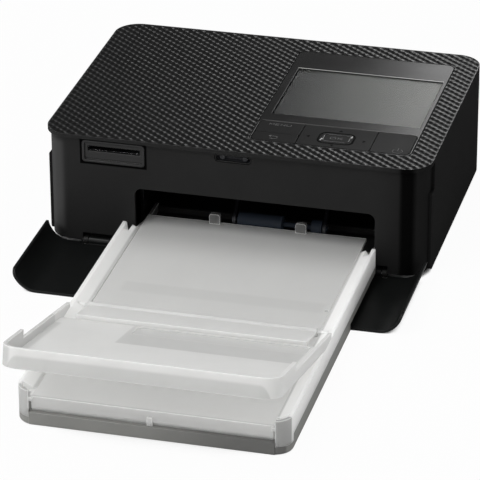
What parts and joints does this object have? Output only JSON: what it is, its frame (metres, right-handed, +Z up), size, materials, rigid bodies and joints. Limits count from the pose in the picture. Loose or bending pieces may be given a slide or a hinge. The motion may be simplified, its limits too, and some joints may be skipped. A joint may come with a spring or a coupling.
{
  "type": "compact photo printer",
  "caption": "Compact black photo printer with a textured top, tilted-open front cover, control panel and a frosted paper cassette whose outer lid stands open.",
  "frame": {"origin": "under the middle of the printer's whole outline with the cassette in and its lid up, at table height", "axes": "+X to the right seen from the front, +Y from the cassette towards the back, +Z up"},
  "size_m": [0.1822, 0.3176, 0.0576],
  "materials": {
    "case_black": "satin",
    "top_texture": "satin",
    "panel_gloss": "gloss",
    "key_black": "satin",
    "screen_glass": "gloss",
    "screen_body": "satin",
    "foot_rubber": "matte",
    "screw_steel": "satin",
    "board_green": "satin",
    "contact_metal": "gloss",
    "recess_grey": "satin",
    "cover_black": "satin",
    "eject_orange": "satin",
    "ink_shell": "satin",
    "ribbon_film": "gloss",
    "plate_steel": "satin",
    "shaft_steel": "satin",
    "roller_rubber": "matte",
    "gear_white": "satin",
    "pinion_brass": "satin",
    "motor_can": "satin",
    "head_alloy": "satin",
    "guide_black": "satin",
    "cassette_frost": "satin",
    "lid_frost": "satin",
    "cassette_grey": "satin"
  },
  "bodies": {
    "case": {"base_tub": "case_black", "front_panel": "case_black", "left_panel": "case_black", "right_panel": "case_black", "rear_panel": "case_black", "top_cover": "top_texture", "rubber_feet": "foot_rubber", "case_screws": "screw_steel", "control_panel": "panel_gloss", "lcd_glass": "screen_glass", "lcd_module": "screen_body", "main_board": "board_green", "key_switches": "contact_metal", "card_bezel": "panel_gloss", "card_socket": "contact_metal", "latch_recess": "recess_grey", "cover_hinge_pins": "shaft_steel", "door_hinge_pin": "shaft_steel", "left_side_plate": "plate_steel", "right_side_plate": "plate_steel", "paper_guide": "guide_black", "exit_chute": "guide_black", "idler_stud": "shaft_steel", "feed_motor": "motor_can", "arm_pivot_shafts": "shaft_steel", "io_board": "board_green", "dc_inlet": "guide_black", "usb_port": "contact_metal"},
    "cover": {"front_cover": "cover_black"},
    "door": {"ink_door": "case_black"},
    "menu": {"menu_key": "key_black"},
    "back": {"back_key": "key_black"},
    "nav": {"nav_key": "key_black"},
    "ok": {"ok_key": "key_black"},
    "power": {"power_key": "key_black"},
    "eject": {"eject_slider": "eject_orange"},
    "ink": {"ink_housing": "ink_shell", "ink_ribbon": "ribbon_film"},
    "supply": {"supply_spool": "ink_shell"},
    "takeup": {"takeup_spool": "ink_shell"},
    "platen": {"platen_roller": "roller_rubber", "platen_gear": "gear_white"},
    "capstan": {"capstan_shaft": "shaft_steel", "capstan_gear": "gear_white"},
    "pinch": {"pinch_roller": "roller_rubber"},
    "idler": {"idler_gear": "gear_white"},
    "motor": {"motor_pinion": "pinion_brass"},
    "pickup": {"pickup_arm": "recess_grey"},
    "rollers": {"pickup_rollers": "roller_rubber"},
    "head": {"head_arm": "plate_steel", "thermal_head": "head_alloy", "heat_sink": "head_alloy"},
    "cassette": {"cassette_base": "cassette_grey", "cassette_tray": "cassette_frost", "cassette_front_bar": "cassette_grey", "lid_hinge_rod": "cassette_frost"},
    "inner_lid": {"inner_cover": "cassette_frost"},
    "lid": {"outer_lid": "lid_frost"}
  },
  "joints": [
    {"name": "cover_hinge", "type": "hinge", "parent": "case", "child": "cover", "pos_m": [0, 0.02836, 0.0026], "axis": [-1, 0, 0], "range_deg": [0, 2]},
    {"name": "door_hinge", "type": "hinge", "parent": "case", "child": "door", "pos_m": [-0.0896, 0.13746, 0.029], "axis": [0, 0, -1], "range_deg": [0, 90]},
    {"name": "menu_press", "type": "slide", "parent": "case", "child": "menu", "axis": [0, 0, -1], "range_m": [0, 0.0004], "stiffness_N_per_m": 2500},
    {"name": "back_press", "type": "slide", "parent": "case", "child": "back", "axis": [0, 0, -1], "range_m": [0, 0.0004], "stiffness_N_per_m": 2500},
    {"name": "nav_press", "type": "slide", "parent": "case", "child": "nav", "axis": [0, 0, -1], "range_m": [0, 0.0004], "stiffness_N_per_m": 2500},
    {"name": "ok_press", "type": "slide", "parent": "case", "child": "ok", "axis": [0, 0, -1], "range_m": [0, 0.0004], "stiffness_N_per_m": 2500},
    {"name": "power_press", "type": "slide", "parent": "case", "child": "power", "axis": [0, 0, -1], "range_m": [0, 0.0004], "stiffness_N_per_m": 2500},
    {"name": "eject_slide", "type": "slide", "parent": "case", "child": "eject", "axis": [0, 1, 0], "range_m": [0, 0.004]},
    {"name": "ink_slide", "type": "slide", "parent": "case", "child": "ink", "axis": [-1, 0, 0], "range_m": [0, 0.0035]},
    {"name": "supply_turn", "type": "hinge", "parent": "ink", "child": "supply", "pos_m": [0.008, 0.12626, 0.034], "axis": [1, 0, 0], "continuous": true},
    {"name": "takeup_turn", "type": "hinge", "parent": "ink", "child": "takeup", "pos_m": [0.008, 0.09226, 0.034], "axis": [1, 0, 0], "continuous": true},
    {"name": "motor_turn", "type": "hinge", "parent": "case", "child": "motor", "pos_m": [0.0717, 0.09313, 0.0363], "axis": [1, 0, 0], "continuous": true},
    {"name": "idler_turn", "type": "hinge", "parent": "case", "child": "idler", "pos_m": [0.0717, 0.09313, 0.0235], "axis": [1, 0, 0], "continuous": true},
    {"name": "platen_turn", "type": "hinge", "parent": "case", "child": "platen", "pos_m": [0.0097, 0.10826, 0.0145], "axis": [1, 0, 0], "continuous": true},
    {"name": "capstan_turn", "type": "hinge", "parent": "case", "child": "capstan", "pos_m": [0.0097, 0.07626, 0.0185], "axis": [1, 0, 0], "continuous": true},
    {"name": "pinch_turn", "type": "hinge", "parent": "case", "child": "pinch", "pos_m": [0.0097, 0.07626, 0.0258], "axis": [1, 0, 0], "continuous": true},
    {"name": "pickup_lift", "type": "hinge", "parent": "case", "child": "pickup", "pos_m": [0.017, 0.06246, 0.027], "axis": [-1, 0, 0], "range_deg": [0, 12]},
    {"name": "pickup_turn", "type": "hinge", "parent": "pickup", "child": "rollers", "pos_m": [0.017, 0.04596, 0.0129], "axis": [1, 0, 0], "continuous": true},
    {"name": "head_lift", "type": "hinge", "parent": "case", "child": "head", "pos_m": [0.0097, 0.14826, 0.044], "axis": [-1, 0, 0], "range_deg": [0, 3]},
    {"name": "cassette_slide", "type": "slide", "parent": "case", "child": "cassette", "axis": [0, -1, 0], "range_m": [0, 0.034]},
    {"name": "inner_cover_hinge", "type": "hinge", "parent": "cassette", "child": "inner_lid", "pos_m": [0.0076, -0.05289, 0.01225], "axis": [1, 0, 0], "range_deg": [0, 8]},
    {"name": "lid_hinge", "type": "hinge", "parent": "cassette", "child": "lid", "pos_m": [0.0076, -0.05574, 0.0142], "axis": [-1, 0, 0], "range_deg": [0, 128]}
  ],
  "couplings": [
    {"joint": "motor_turn", "follows": "platen_turn", "ratio": 2},
    {"joint": "idler_turn", "follows": "platen_turn", "ratio": -1.2},
    {"joint": "capstan_turn", "follows": "platen_turn", "ratio": 1},
    {"joint": "pinch_turn", "follows": "platen_turn", "ratio": -1.3333},
    {"joint": "takeup_turn", "follows": "platen_turn", "ratio": -1.3333},
    {"joint": "supply_turn", "follows": "platen_turn", "ratio": -0.88889}
  ]
}
